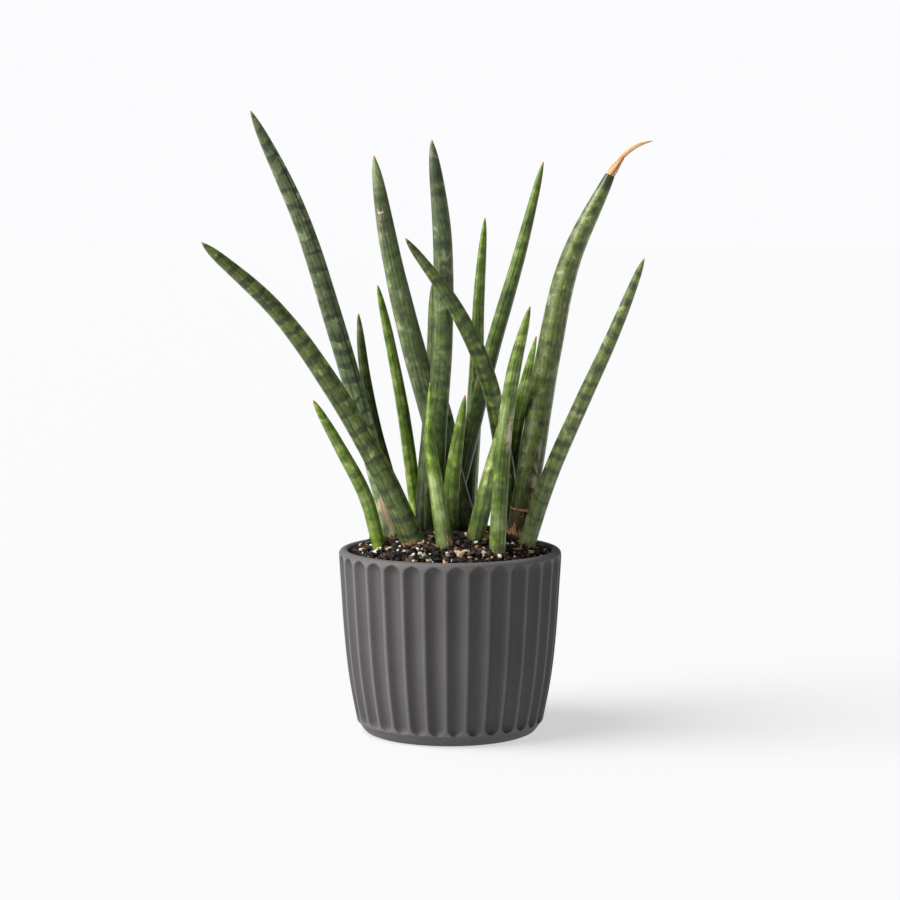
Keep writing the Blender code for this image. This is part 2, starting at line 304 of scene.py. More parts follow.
places = points_of(pot) / MM
radius = np.hypot(places[:, 0], places[:, 1])
angle = np.arctan2(places[:, 1], places[:, 0])
outer = smooth_between(*zip(*BODY), places[:, 2])
on_wall = (radius > outer - 0.3) & (places[:, 2] > FLUTE_BOTTOM)
across = ((angle - FIRST_RIDGE) / (2 * math.pi / FLUTES)) % 1
pressed = np.where(on_wall, flute_depth(across, places[:, 2]), 0)
places[:, :2] *= ((radius - pressed) / np.maximum(radius, 1e-6))[:, None]
place_points(pot, places * MM)
# The foot and the lip get less of the ridges' wear and painted highlight
fluted = on_wall & (places[:, 2] < LIP_BEGINS)
note_on_points(pot, "hollow", np.where(fluted, pressed / FLUTE_DEPTH, PLAIN_HOLLOW))
print("deepest flute:", round(float(pressed.max()), 2), "mm")

# %% [markdown]
# ## Matte stoneware
#
# The body is unglazed stoneware, coloured right through and rubbed smooth, so the eye sees no gloss:
# only a warm dark grey with grains of sand about half a millimetre wide, a few darker pinholes, and a
# faint cloudiness from the mould. The ridges are painted paler than the hollows and the hollows darker:
# partly rubbed wear, and partly a painted highlight on the ridges, the foot and the lip, and painted
# shade in the flutes.

# %% Stoneware material
stoneware, tree, shader = start_material("matte_stoneware")
where = add_node(tree, "TexCoord", out="Object")
# Grains of 0.5 to 0.9 mm, which is as fine as the picture can hold
sand = add_node(tree, "TexNoise", {"Vector": where, "Scale": 1300, "Detail": 3.0, "Roughness": 0.6})
clouds = add_node(tree, "TexNoise", {"Vector": where, "Scale": 26, "Detail": 2.0})
cloudy = add_node(tree, "MapRange", {"Value": clouds}, span=(0.3, 0.7, 0.93, 1.07))
hollow = add_node(tree, "Attribute", out="Fac", attribute_name="hollow")
# Ridges paler and flutes darker: partly rubbed wear, partly a painted highlight on the ridges and painted
# shade in the flutes
wear_and_painted_light = add_node(tree, "MapRange", {"Value": hollow}, span=(0.0, 0.09, 1.56, 0.91))
tone = add_node(tree, "Math", {0: cloudy, 1: wear_and_painted_light}, operation="MULTIPLY")
sand_stops = [(0.3, "#4c4a49"), (0.5, "#504e4d"), (0.72, "#555352")]
grain = add_node(tree, "ValToRGB", {"Fac": sand}, stops=sand_stops)
clay = add_node(tree, "VectorMath", {0: grain, "Scale": tone}, operation="SCALE")
# Pinholes 4 mm apart and pale sand grains 3 mm apart, each about 0.7 mm wide
for per_metre, amount, code in ((230, 0.6, "#262424"), (330, 0.2, "#a3a09c")):
    dots = add_node(tree, "TexVoronoi", {"Vector": where, "Scale": per_metre})
    dot = add_node(tree, "MapRange", {"Value": dots}, span=(0.05, 0.11, amount, 0.0))
    clay = add_node(tree, "Mix", {0: dot, 6: clay, 7: to_linear(code)}, out=2, data_type="RGBA")
bump = add_node(tree, "Bump", {"Strength": 0.06, "Distance": 0.3 * MM, "Height": sand})
set_inputs(tree, shader, {
    "Base Color": clay, "Normal": bump, "Roughness": 0.6, "IOR": 1.45, "Specular IOR Level": 0.3,
})
finish(pot, stoneware, "pot_ceramic", "pot")
print("pot done:", len(pot.data.polygons), "faces")

# %% [markdown]
# ## The potting mix: a heaped bed
#
# The mix fills the pot to just under the lip and is heaped around the leaves. Its top could be a
# sculpted plane. Here a disc is inset again and again, which gives rings of faces, and each point is
# then lifted to the heap's height with a little roughness. Its rim is pulled down inside the pot, so
# that the bed is a closed body.

# %% The heap's height
MIX_EDGE_HEIGHT = 118.5
MIX_HEAP = 17.5
MIX_EDGE_RADIUS = 67.7
BED_SIDES = 180
BED_RINGS = 33
BED_FOOT_RADIUS = 64.0
BED_FOOT_HEIGHT = 64.0
BIG_GRAIN_SEEN = (375.5, 554.5)


def mix_height(x, y):
    """The height of the heap in millimetres: flat-topped, falling away to the pot's wall."""
    share = np.minimum(1.0, np.hypot(x, y) / MIX_EDGE_RADIUS)
    return MIX_EDGE_HEIGHT + MIX_HEAP * (1 - share**3)


def on_mix(right, down):
    """The place on the heap, in millimetres, that is seen at a pixel."""
    line = sight_line(right, down)
    # Walk along it in steps of 0.2 mm, from in front of the pot to behind it
    for distance in np.arange(1.6, 1.95, 0.0002):
        x, y, z = (CAMERA_PLACE + line * distance) / MM
        if z <= mix_height(x, y):
            break
    return x, y


print("the heap is", mix_height(0, 0), "mm high, and the big white grain sits at",
      [round(v, 1) for v in on_mix(*BIG_GRAIN_SEEN)])

# %% Inset a disc into rings and lift it
deselect_all()
bpy.ops.mesh.primitive_circle_add(
    vertices=BED_SIDES, radius=MIX_EDGE_RADIUS * MM, fill_type="NGON",
    location=(0, 0, MIX_EDGE_HEIGHT * MM),
)
bed = named("mix_bed")
bpy.ops.object.transform_apply(location=True)
bpy.ops.object.mode_set(mode="EDIT")
bpy.ops.mesh.extrude_region_move(TRANSFORM_OT_translate={"value": (0, 0, 0)})
for _ in range(BED_RINGS):
    bpy.ops.mesh.inset(thickness=2.0 * MM)
bpy.ops.mesh.poke()
bpy.ops.object.mode_set(mode="OBJECT")
print(len(bed.data.vertices), "points in the bed")

# %% [markdown]
# ## The lines of the leaves
#
# Twenty leaves stand in the pot. Each one is a rod that tapers to a point and leans or bends its own
# way. The line of its middle runs through four or five evenly spaced points, and its thickness is
# measured at five places. Old leaves are grey-green, because a bloom of wax covers them, and young
# ones are bright. So each leaf has the three colours of its skin, how strongly its bands show, how
# fresh the green is at the foot and at the tip, and how light the skin is at the foot, half way up
# and at the tip. That lightness is partly the leaf's own green and partly painted shade and painted
# light: feet and leaves deep in the clump are painted dark as painted shade, and where a leaf is
# painted very light, that painted light is kept on its front alone.

# %% The plan of each leaf, in millimetres
# The dark of the bands, the flesh between them, and the pale of washed-out places
BLOOMED = ("#36432a", "#5a6643", "#9aa380")
OLIVE = ("#29361a", "#515e28", "#8c9a56")
BANDED = ("#34421f", "#626e3a", "#acb08a")
DARK = ("#26341a", "#485626", "#74824e")
GREEN = ("#36490f", "#5c751d", "#9cac60")

Leaf = namedtuple("Leaf", "slot skin bands fresh tone tip thick line")
# In each row: the group of its green, its skin, how strongly its bands show, how fresh its foot and its
# tip are, how light its foot, middle and tip are (low values are partly painted shade, high ones partly
# painted light), how long its browned point is, how thick it is at the foot and at 1/3, 2/3, 0.9 and
# 0.97 of its length, and the points of its middle line
LEAVES = {
    "leaf_far_left": Leaf(
        "grey", OLIVE, 0.85, (0.25, 0.0), (0.9, 1.0, 1.0), 2.0, (15.9, 14.1, 11.8, 8.6, 5.2),
        [(-22, -31, 128), (-47, -40, 184), (-78, -50, 239), (-113, -60, 288), (-159, -70, 331)],
    ),
    "leaf_tall_left": Leaf(
        "grey", BLOOMED, 1.0, (0.1, 0.0), (4.4, 0.95, 1.05), 2.0, (12.7, 13.0, 12.1, 8.6, 4.6),
        [(-36, -17, 127), (-55, -16, 201), (-76, -17, 275), (-99, -17, 347), (-131, -17, 416)],
    ),
    "leaf_small_left": Leaf(
        "grey", GREEN, 0.6, (0.5, 0.6), (2.7, 1.3, 1.65), 2.0, (9.3, 9.2, 7.8, 5.0, 2.8),
        [(-47, -22, 128), (-56, -32, 163), (-72, -42, 196), (-89, -51, 228)],
    ),
    "leaf_thin_dark_left": Leaf(
        "dark", DARK, 0.5, (0.5, 0.5), (0.34, 0.28, 0.62), 2.0, (9.5, 9.0, 7.6, 5.0, 2.6),
        [(-31, 8, 130), (-41, 11, 168), (-51, 15, 205), (-58, 18, 243), (-62, 21, 281)],
    ),
    "leaf_bright_centre_left": Leaf(
        "bright", GREEN, 0.35, (0.8, 0.3), (3.8, 1.25, 1.1), 2.2, (9.6, 9.1, 7.5, 5.3, 2.9),
        [(-21, 25, 129), (-26, 25, 172), (-32, 25, 215), (-40, 25, 258), (-49, 25, 300)],
    ),
    "leaf_tall_grey": Leaf(
        "grey", BLOOMED, 0.3, (0.3, 0.0), (0.35, 0.92, 1.02), 2.4, (18.9, 16.9, 13.9, 9.2, 4.9),
        [(10, 4, 136), (-7, 6, 198), (-25, 8, 260), (-40, 11, 323), (-51, 13, 387)],
    ),
    "leaf_tall_centre": Leaf(
        "grey", BLOOMED, 0.5, (1.5, -0.3), (0.15, 0.72, 0.85), 3.0, (13.4, 13.7, 13.1, 9.0, 4.9),
        [(-11, -5, 137), (-9, -10, 202), (-5, -14, 267), (-5, -18, 332), (-12, -22, 397)],
    ),
    "leaf_behind_centre": Leaf(
        "dark", DARK, 0.35, (0.4, 0.7), (0.08, 0.9, 0.95), 2.0, (14.9, 13.6, 10.6, 6.6, 3.3),
        [(-17, 8, 132), (-15, 18, 174), (-12, 28, 216), (-11, 37, 258), (-12, 46, 301)],
    ),
    "leaf_small_front": Leaf(
        "bright", GREEN, 0.35, (0.9, 0.9), (0.4, 0.95, 1.1), 0.0, (10.8, 10.0, 7.1, 3.5, 1.9),
        [(-3, -45, 127), (-8, -45, 164), (-13, -46, 201), (-13, -46, 239)],
    ),
    "leaf_small_front_right": Leaf(
        "bright", GREEN, 0.4, (0.8, 0.9), (0.2, 1.1, 1.1), 3.0, (10.4, 10.5, 8.3, 4.6, 2.3),
        [(1, -9, 135), (1, -14, 166), (5, -18, 198), (10, -22, 229)],
    ),
    "leaf_dark_right": Leaf(
        "dark", DARK, 0.35, (0.1, 0.4), (0.28, 0.92, 1.2), 2.2, (12.4, 11.2, 9.4, 5.9, 3.4),
        [(-3, 34, 132), (13, 33, 194), (29, 31, 257), (47, 30, 320), (63, 29, 383)],
    ),
    "leaf_crossing": Leaf(
        "grey", OLIVE, 0.8, (0.6, 0.2), (0.9, 0.95, 0.95), 2.2, (12.3, 11.9, 10.8, 6.9, 4.1),
        [(43, 19, 132), (36, 4, 187), (25, -11, 240), (3, -26, 288), (-29, -42, 333)],
    ),
    "leaf_short_right": Leaf(
        "bright", BANDED, 0.3, (0.9, 0.0), (0.55, 1.35, 1.5), 0.0, (12.2, 11.7, 8.7, 4.7, 2.3),
        [(16, -30, 132), (23, -31, 162), (30, -33, 192), (37, -34, 222)],
    ),
    "leaf_bright_front": Leaf(
        "bright", GREEN, 0.5, (0.7, 1.0), (0.85, 0.85, 0.95), 1.2, (11.2, 10.4, 9.8, 6.2, 3.2),
        [(31, -44, 128), (33, -45, 169), (36, -45, 209), (42, -46, 249), (52, -47, 289)],
    ),
    "leaf_thick_right": Leaf(
        "grey", BANDED, 0.5, (0.3, 0.0), (0.15, 1.05, 1.28), 0.0, (17.5, 16.8, 15.4, 10.9, 8.2),
        [(46, -1, 129), (56, 1, 192), (66, 4, 254), (80, 7, 316), (107, 10, 374)],
    ),
    "leaf_right": Leaf(
        "grey", BANDED, 0.8, (0.15, 0.15), (0.9, 0.95, 0.9), 2.0, (11.7, 10.9, 9.1, 6.1, 3.6),
        [(50, -16, 125), (66, -23, 175), (86, -31, 223), (107, -39, 271), (126, -47, 320)],
    ),
    "leaf_thin_behind": Leaf(
        "dark", GREEN, 0.35, (0.5, 0.9), (0.04, 0.3, 1.9), 3.2, (9.4, 9.6, 8.8, 4.6, 2.2),
        [(42, 34, 128), (42, 21, 164), (44, 8, 199), (50, -7, 234), (57, -21, 268)],
    ),
    "leaf_thin_centre": Leaf(
        "bright", GREEN, 0.4, (0.5, 0.6), (4.4, 0.7, 0.95), 2.0, (11.1, 10.9, 8.5, 5.5, 3.1),
        [(12, 56, 129), (15, 55, 183), (18, 55, 237), (20, 54, 291), (24, 53, 345)],
    ),
    "leaf_short_behind": Leaf(
        "bright", GREEN, 0.3, (0.6, 0.8), (0.15, 0.4, 0.9), 1.2, (9.7, 9.8, 8.8, 4.9, 2.5),
        [(12, 44, 130), (13, 44, 165), (16, 44, 201), (16, 44, 236)],
    ),
    "leaf_hidden_centre": Leaf(
        "dark", DARK, 0.8, (0.3, 0.2), (1.2, 1.2, 1.2), 0.0, (11.6, 11.5, 9.9, 4.8, 2.3),
        [(8, 21, 132), (3, 21, 170), (-2, 20, 207), (-10, 18, 244)],
    ),
}
CUT_LEAF = "leaf_thick_right"
CUT_THICKNESS = 6.6
TIP_THICKNESS = 0.9
STUB = 14.0
THICKNESS_AT = (0.0, 1 / 3, 2 / 3, 0.9, 0.97, 1.0)
print(len(LEAVES), "leaves, the thickest", max(plan.thick[0] for plan in LEAVES.values()), "mm at its foot")

# %% Places along a leaf
def line_at(points, share):
    """Places on the smooth line through evenly spaced points, at shares of its length."""
    points = np.asarray(points, float)
    padded = np.vstack([2 * points[0] - points[1], points, 2 * points[-1] - points[-2]])
    place = np.clip(share, 0, 1) * (len(points) - 1)
    i = np.minimum(place.astype(int), len(points) - 2)
    u = (place - i)[:, None]
    before, start, end, after = (padded[i + k] for k in range(4))
    return 0.5 * (
        2 * start + (end - before) * u + (2 * before - 5 * start + 4 * end - after) * u**2
        + (3 * start - before - 3 * end + after) * u**3
    )


def frame_along(points, share):
    """Places on a line, and the directions to the right and to the front of it there."""
    ways = line_at(points, share + 0.01) - line_at(points, share - 0.01)
    ways /= np.linalg.norm(ways, axis=1)[:, None]
    side = np.cross(ways, (0, -1, 0))
    side /= np.linalg.norm(side, axis=1)[:, None]
    return line_at(points, share), side, np.cross(side, ways)


def around_line(middle, side, front, turn, off):
    """Places at a distance from a line, turned round it from its right past its front."""
    return middle + off[:, None] * (np.cos(turn)[:, None] * side + np.sin(turn)[:, None] * front)


def line_length(points):
    return np.linalg.norm(np.diff(line_at(points, np.linspace(0, 1, 200)), axis=0), axis=1).sum()


def foot_place(name):
    """Where a leaf comes out of the mix, how thick it is there, and the share of its line."""
    shares = np.linspace(0, 0.25, 60)
    middle = line_at(LEAVES[name].line, shares)
    out = np.argmax(middle[:, 2] >= mix_height(middle[:, 0], middle[:, 1]))
    return middle[out, 0], middle[out, 1], LEAVES[name].thick[0], shares[out]


print("the tallest leaf comes out at", [round(float(v)) for v in foot_place("leaf_tall_left")[:2]])

# %% [markdown]
# ## Marks that are seen in the picture
#
# A leaf carries the story of its life: scars where it was rubbed, bands that came out darker, washed
# places, and brown paper left by an old sheath. Each mark is named with its leaf, its place in the
# picture, and its length and width in millimetres. The code finds where on the leaf that place is, so
# a mark keeps to the skin and is seen right from every side.

# %% The marks
# On each leaf: the kind of mark, its place in the picture in pixels right and down, its length and
# width in mm, and its strength
MARKS = {
    "leaf_tall_left": [
        ("scar", 383, 504, 11, 6.5, 1.1), ("scar", 386.5, 514, 11, 5.0, 1.1),
        ("scar", 391, 524, 10, 3.5, 1.0), ("scar", 397, 543, 4, 12, 0.75), ("pale", 392, 526, 34, 16, 0.6),
    ],
    "leaf_tall_grey": [
        ("scar", 380.5, 211.5, 1.6, 5.5, 0.55), ("scar", 377.5, 208.5, 4.0, 1.0, 0.55),
        ("scar", 383, 209.5, 3.5, 0.9, 0.5), ("silver", 380, 222, 10, 4.0, 0.3),
        ("dark", 379, 201, 5, 16, 1.0), ("dark", 377, 190, 2.5, 12, 0.8), ("dark", 383, 219, 14, 7, 0.8),
        ("dark", 375.5, 183, 1.6, 9, 0.7), ("pale", 375.5, 172, 24, 8, 0.5),
    ],
    "leaf_far_left": [
        ("scar", 422, 540, 4, 3.0, 0.7), ("pale", 415, 543, 6, 12, 0.6),
    ],
    "leaf_tall_centre": [
        ("dark", 434.5, 175, 9, 16, 0.9), ("dark", 437, 190, 6, 16, 0.9), ("dark", 439, 243, 5, 16, 0.9),
    ],
    "leaf_crossing": [
        ("dark", 474.5, 339, 3.2, 14, 0.9), ("dark", 480.7, 351, 3.0, 14, 0.8),
        ("dark", 485, 370, 3.0, 14, 0.8),
    ],
    "leaf_small_front": [
        ("pale", 433, 483, 8, 6, 1.3), ("pale", 437, 497, 9, 6, 1.2), ("pale", 441, 512, 9, 7, 1.2),
        ("pale", 443, 535, 14, 5, 0.5), ("scar", 449, 543, 6, 3, 0.8),
    ],
    "leaf_bright_front": [
        ("silver", 511.5, 424, 11, 4.5, 1.1), ("silver", 509, 437, 13, 3.5, 1.0),
        ("pale", 502, 422, 20, 5, 0.6), ("dark", 500, 489, 6, 12, 0.8), ("pale", 498, 520, 10, 6, 0.5),
        ("dark", 503, 508, 5, 8, 0.6), ("brown", 498, 549, 5, 12, 0.5),
    ],
    "leaf_thick_right": [
        ("brown", 517, 528, 26, 20, 0.5), ("silver", 535, 478, 40, 3.5, 0.5),
        ("dark", 609, 180, 13, 30, 1.3),
    ],
    "leaf_small_left": [
        ("pale", 366, 498, 5, 8, 0.5), ("pale", 375, 525, 6, 9, 0.5),
    ],
    "leaf_right": [
        ("pale", 527, 540, 12, 12, 0.4),
    ],
    "leaf_behind_centre": [
        ("brown", 462, 515, 12, 8, 0.5),
    ],
}
print(sum(map(len, MARKS.values())), "marks on", len(MARKS), "leaves")

# %% [markdown]
# ## Growing a leaf
#
# A leaf could be a curve with a bevel, but then it couldn't have furrows that wander. Here a plain
# cylinder is cut into rings, and its points are moved: each ring goes to its place on the leaf's line,
# takes the leaf's thickness there, and is pinched where a furrow runs. The rod's edges wander a little
# round the leaf, and the furrows and the strips of skin between them keep to those edges. Each strip
# has a tone and a freshness of its own. Each point also remembers where it was on the straight rod,
# with its real size, so that bands and streaks bend with the leaf.

# %% A straight rod of rings
LEAF_SIDES = 96
RING_GAP = 1.9


def cut_into_rings(rings):
    """Cuts the long edges of the cylinder that is being edited."""
    bpy.ops.mesh.select_mode(type="EDGE")
    bpy.ops.mesh.select_all(action="DESELECT")
    mesh = bpy.context.object.data
    shape = bmesh.from_edit_mesh(mesh)
    for edge in shape.edges:
        edge.select_set(edge.calc_length() > 0.5)
    bmesh.update_edit_mesh(mesh)
    bpy.ops.mesh.subdivide(number_cuts=rings - 1)


def straight_rod(name, rings):
    """A closed rod from 0 to 1 up the Z axis, cut into rings, with a point on each end."""
    deselect_all()
    bpy.ops.mesh.primitive_cylinder_add(
        vertices=LEAF_SIDES, radius=1, depth=1, location=(0, 0, 0.5), end_fill_type="NGON"
    )
    rod = named(name)
    bpy.ops.object.transform_apply(location=True)
    bpy.ops.object.mode_set(mode="EDIT")
    cut_into_rings(rings)
    bpy.ops.mesh.select_mode(type="FACE")
    bpy.ops.mesh.select_all(action="DESELECT")
    shape = bmesh.from_edit_mesh(rod.data)
    for face in shape.faces:
        face.select_set(len(face.verts) > 4)
    bmesh.update_edit_mesh(rod.data)
    bpy.ops.mesh.poke()
    bpy.ops.object.mode_set(mode="OBJECT")
    return rod


print("a ring every", RING_GAP, "mm lets a mark 3 mm long show")

# %% Furrows and the leaf's surface
# Each furrow has its place round the leaf in degrees, from the right past the front, and its depth
# and width as shares of the leaf's radius
FURROWS = [
    (46, 0.07, 0.10), (72, 0.05, 0.07), (98, 0.06, 0.08), (128, 0.045, 0.07), (156, 0.04, 0.08),
    (199, 0.05, 0.09), (240, 0.05, 0.08), (283, 0.07, 0.10), (322, 0.05, 0.08),
]
FULL_FURROW = 0.075
EDGE_WANDER = 0.07
TIP_CROWDING = 1.15
BROWN_EDGE = 0.8
APART_IN_PATTERN = 0.37


def leaf_radius(name, share):
    tip = CUT_THICKNESS if name == CUT_LEAF else TIP_THICKNESS
    return smooth_between(THICKNESS_AT, (*LEAVES[name].thick, tip), share) / 2


def grow_leaf(name, number):
    """Bends and tapers a straight rod into a leaf."""
    plan = LEAVES[name]
    length = line_length(plan.line)
    rings = round(length / RING_GAP)
    leaf = straight_rod(name + "_grown", rings)
    rod = points_of(leaf)
    on_rod = np.arctan2(rod[:, 1], rod[:, 0])
    reach = np.hypot(rod[:, 0], rod[:, 1])
    # The lowest ring is the stub in the mix, and the rest crowd towards the tip
    ring = rod[:, 2] * rings
    share = np.clip((ring - 1) / (rings - 1), 0, 1)
    share = 1 - (1 - share) ** TIP_CROWDING
    radius = leaf_radius(name, share)
    middle, side, front = frame_along(plan.line, share)
    middle[ring < 0.5] -= (0, 0, STUB)
    side[ring < 0.5], front[ring < 0.5] = (1, 0, 0), (0, -1, 0)
    dice = np.random.default_rng(100 + number)
    pinch = np.zeros(len(rod))
    # The rod's edges wander round the leaf, and the furrows follow them
    turn = on_rod + EDGE_WANDER * np.sin(share * dice.uniform(4, 9) + dice.uniform(0, 6))
    places = []
    for degrees, depth, width in FURROWS:
        places.append(math.radians(degrees + dice.uniform(-9, 9)))
        apart = (on_rod - places[-1] + math.pi) % (2 * math.pi) - math.pi
        fade = smooth_between((0, 0.04, 0.9, 1.0), (0.4, 1, 1, 0.2), share)
        fade *= 0.75 + 0.25 * np.sin(share * dice.uniform(8, 20) + dice.uniform(0, 6))
        pinch += depth * dice.uniform(0.5, 1.35) * fade * np.exp(-((apart / width) ** 2))
    # The skin between two furrows has a tone and a freshness of its own
    strip = np.searchsorted(np.sort(places), on_rod % (2 * math.pi)) % len(places)
    strip_tone = dice.uniform(0.8, 1.2, len(places))[strip]
    strip_fresh = dice.uniform(-0.25, 0.25, len(places))[strip]
    oval = 1 + 0.012 * np.cos(2 * turn + dice.uniform(0, 6))
    oval += 0.006 * np.sin(share * 40 + dice.uniform(0, 6))
    off = radius * reach * (1 - pinch) * oval
    place_points(leaf, around_line(middle, side, front, turn, off) * MM)
    along = share * length
    straight = np.stack([radius * reach * np.cos(turn), radius * reach * np.sin(turn), along], 1)
    note_on_points(leaf, "straight", straight * MM + (APART_IN_PATTERN * number, 0, 0))
    # The furrow's depth, which the skin darkens as painted shade
    note_on_points(leaf, "furrow", np.clip(pinch / FULL_FURROW, 0, 1) ** 1.2)
    note_on_points(leaf, "browned", np.clip((plan.tip - length + along) / BROWN_EDGE, 0, 1))
    foot_fresh, tip_fresh = plan.fresh
    note_on_points(leaf, "fresh", foot_fresh + (tip_fresh - foot_fresh) * share + strip_fresh)
    # The lightness along the leaf is partly its own green and partly painted shade and painted light.
    # Above 1.2 it is painted light, kept on the front alone, where the light falls between the leaves
    tone = smooth_between((0.02, 0.45, 1), plan.tone, share)
    tone -= np.maximum(tone - 1.2, 0) * (1 - np.clip(np.sin(turn), 0, 1))
    note_on_points(leaf, "tone", tone * strip_tone)
    mark_leaf(leaf, name, share, turn, radius, along)
    return leaf


print("furrows per leaf:", len(FURROWS))

# %% Find the marks on a leaf
# One pixel of the picture, in millimetres at the plant
PIXEL_SIZE = 0.667


def mark_leaf(leaf, name, share, turn, radius, along):
    """Notes on each point how strongly each kind of mark shows there."""
    seen = in_picture(line_at(LEAVES[name].line, share) * MM)
    amounts = {kind: np.zeros(len(share)) for kind in ("scar", "dark", "pale", "silver", "brown")}
    for kind, right, down, long, wide, amount in MARKS.get(name, ()):
        i = np.argmin(np.hypot(seen[:, 0] - right, seen[:, 1] - down))
        ahead = seen[np.argmin(np.abs(share - share[i] - 0.02))] - seen[i]
        off = (right - seen[i, 0]) * -ahead[1] + (down - seen[i, 1]) * ahead[0]
        pixels = off / max(np.hypot(*ahead), 1e-9)
        place = math.acos(max(-0.95, min(0.95, pixels * PIXEL_SIZE / radius[i])))
        apart = (turn - place + math.pi) % (2 * math.pi) - math.pi
        spread = ((along - along[i]) / (long / 2)) ** 2 + (apart * radius / (wide / 2)) ** 2
        amounts[kind] = np.maximum(amounts[kind], amount * np.exp(-0.7 * spread))
    for kind, amount in amounts.items():
        note_on_points(leaf, kind, amount)


print("one pixel is", PIXEL_SIZE, "mm at the plant")

# %% [markdown]
# ## Leaf skin
#
# The skin is a tough green hide under a layer of wax, so it is satin: it holds a soft, broad light and
# no sharp one, and flecks in the wax break that light up. Cells of paler and darker green are parted
# by narrow dark bands about 11 mm apart, which fine streaks along the leaf make ragged. The relief is
# in the mesh, so the material has no bump. The furrows are painted darker, as painted shade in their
# grooves, scars are tan and dry, and the very tip is an orange-brown point.

# %% Leaf skin material
BAND_GAP = 11.2
# Noises in cells per metre across and along the leaf, with their detail and roughness
SKIN_NOISES = (
    ((1000, 1000, 60), 2.0, 0.6),  # streaks 1 mm wide and 17 mm long
    ((120, 120, 45), 1.0, 0.5),  # a wobble that bends the bands
    ((750, 750, 230), 3.0, 0.7),  # flecks of wax 1.3 mm wide
    ((60, 60, 40), 2.0, 0.5),  # blotches 17 mm wide
    ((14, 14, 26), 1.0, 0.5),  # a slow drift that keeps the bands uneven
)


